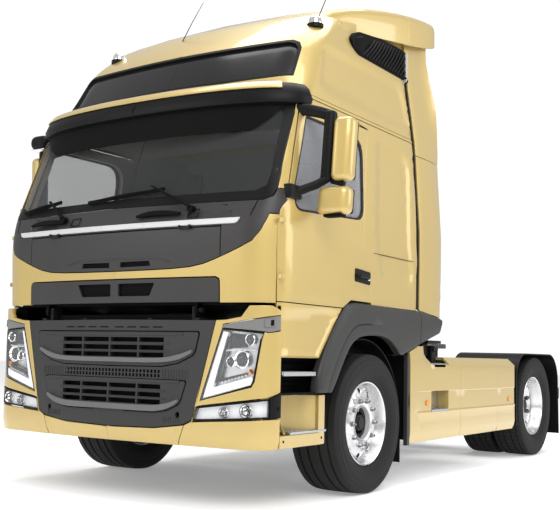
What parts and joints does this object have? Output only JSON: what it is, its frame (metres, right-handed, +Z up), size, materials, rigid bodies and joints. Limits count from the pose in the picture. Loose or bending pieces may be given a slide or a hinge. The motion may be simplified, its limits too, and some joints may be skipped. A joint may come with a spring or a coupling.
{
  "type": "semi truck tractor unit",
  "caption": "Two-axle tractor unit with a tilting high-roof sleeper cab, steered front wheels, driven twin rear wheels and a fifth-wheel coupling.",
  "frame": {"origin": "on the ground under the middle of the vehicle", "axes": "+Z up, the cab's front faces -Y, +X is the vehicle's left side"},
  "size_m": [3.01, 6.0101, 3.855],
  "materials": {
    "paint": "champagne gold metallic",
    "roof_paint": "champagne gold metallic",
    "frame_steel": "satin black",
    "cast": "painted black",
    "engine": "dark grey paint",
    "dark_plastic": "fine grain",
    "black_plastic": "fine grain",
    "trim_grey": "fine grain",
    "silver": "silver",
    "alloy": "polished",
    "tank_alloy": "brushed",
    "tyre": "rubber",
    "rubber": "rubber",
    "lamp_clear": "clear lens",
    "lamp_red": "red lens",
    "glass": "tinted",
    "cloth": "woven",
    "greased_steel": "greased"
  },
  "bodies": {
    "chassis": {"chassis_frame": "frame_steel", "engine_block": "engine", "radiator": "black_plastic", "drive_line": "cast", "front_axle": "cast", "suspension_springs": "frame_steel", "rear_axle": "cast", "front_bumper": "roof_paint", "grille": "dark_plastic", "headlamps": "lamp_clear", "fog_lamps": "lamp_clear", "bumper_beam": "frame_steel", "lower_steps": "roof_paint", "front_mudguards": "black_plastic", "rear_fenders": "black_plastic", "side_skirts": "roof_paint", "fuel_tanks": "tank_alloy", "deck_plate": "alloy", "coupling_base": "cast", "tail_bar": "frame_steel", "tail_lamps": "lamp_red"},
    "knuckle_left": {"knuckle_left": "cast"},
    "knuckle_right": {"knuckle_right": "cast"},
    "track_rod": {"tie_rod": "frame_steel"},
    "wheel_front_left": {"front_tyre_left": "tyre", "front_rim_left": "alloy"},
    "wheel_front_right": {"front_tyre_right": "tyre", "front_rim_right": "alloy"},
    "wheels_rear_left": {"rear_tyres_left": "tyre", "rear_rims_left": "alloy"},
    "wheels_rear_right": {"rear_tyres_right": "tyre", "rear_rims_right": "alloy"},
    "fifth_wheel": {"fifth_wheel": "greased_steel"},
    "cab": {"cab_shell": "paint", "cab_roof": "roof_paint", "windscreen": "glass", "front_trim": "dark_plastic", "sun_visor": "black_plastic", "roof_spoiler": "roof_paint", "air_intakes": "black_plastic", "side_fairings": "roof_paint", "arch_trims": "trim_grey", "upper_steps": "black_plastic", "wipers": "black_plastic", "dashboard": "dark_plastic", "steering_wheel": "black_plastic", "seats": "cloth", "bunk": "cloth"},
    "door_left": {"door_left": "paint", "door_glass_left": "glass", "mirror_left": "roof_paint"},
    "door_right": {"door_right": "paint", "door_glass_right": "glass", "mirror_right": "roof_paint", "kerb_mirror": "black_plastic"},
    "front_hatch": {"front_hatch": "dark_plastic"}
  },
  "joints": [
    {"name": "cab_tilt", "type": "hinge", "parent": "chassis", "child": "cab", "pos_m": [0, -2.91, 1.25], "axis": [1, 0, 0], "range_deg": [0, 55]},
    {"name": "door_left_hinge", "type": "hinge", "parent": "cab", "child": "door_left", "pos_m": [1.252, -2.802, 1.6], "axis": [0, 0, -1], "range_deg": [0, 70]},
    {"name": "door_right_hinge", "type": "hinge", "parent": "cab", "child": "door_right", "pos_m": [-1.252, -2.802, 1.6], "axis": [0, 0, 1], "range_deg": [0, 70]},
    {"name": "front_hatch_hinge", "type": "hinge", "parent": "cab", "child": "front_hatch", "pos_m": [0, -2.992, 1.782], "axis": [-1, 0, 0], "range_deg": [0, 75]},
    {"name": "steer_left", "type": "hinge", "parent": "chassis", "child": "knuckle_left", "pos_m": [0.95, -1.61, 0.498], "axis": [0, 0, 1], "range_deg": [-38, 38]},
    {"name": "steer_right", "type": "hinge", "parent": "chassis", "child": "knuckle_right", "pos_m": [-0.95, -1.61, 0.498], "axis": [0, 0, 1], "range_deg": [-38, 38]},
    {"name": "track_rod_pivot", "type": "hinge", "parent": "knuckle_left", "child": "track_rod", "pos_m": [0.95, -1.45, 0.382], "axis": [0, 0, 1], "range_deg": [-38, 38]},
    {"name": "wheel_front_left_spin", "type": "hinge", "parent": "knuckle_left", "child": "wheel_front_left", "pos_m": [1.057, -1.61, 0.498], "axis": [1, 0, 0], "continuous": true},
    {"name": "wheel_front_right_spin", "type": "hinge", "parent": "knuckle_right", "child": "wheel_front_right", "pos_m": [-1.057, -1.61, 0.498], "axis": [1, 0, 0], "continuous": true},
    {"name": "wheels_rear_left_spin", "type": "hinge", "parent": "chassis", "child": "wheels_rear_left", "pos_m": [0.89, 2.09, 0.507], "axis": [1, 0, 0], "continuous": true},
    {"name": "wheels_rear_right_spin", "type": "hinge", "parent": "chassis", "child": "wheels_rear_right", "pos_m": [-0.89, 2.09, 0.507], "axis": [1, 0, 0], "continuous": true},
    {"name": "fifth_wheel_tilt", "type": "hinge", "parent": "chassis", "child": "fifth_wheel", "pos_m": [0, 1.365, 1.02], "axis": [1, 0, 0], "range_deg": [-9, 9]}
  ],
  "couplings": [
    {"joint": "steer_right", "follows": "steer_left", "ratio": 1},
    {"joint": "track_rod_pivot", "follows": "steer_left", "ratio": -1}
  ]
}
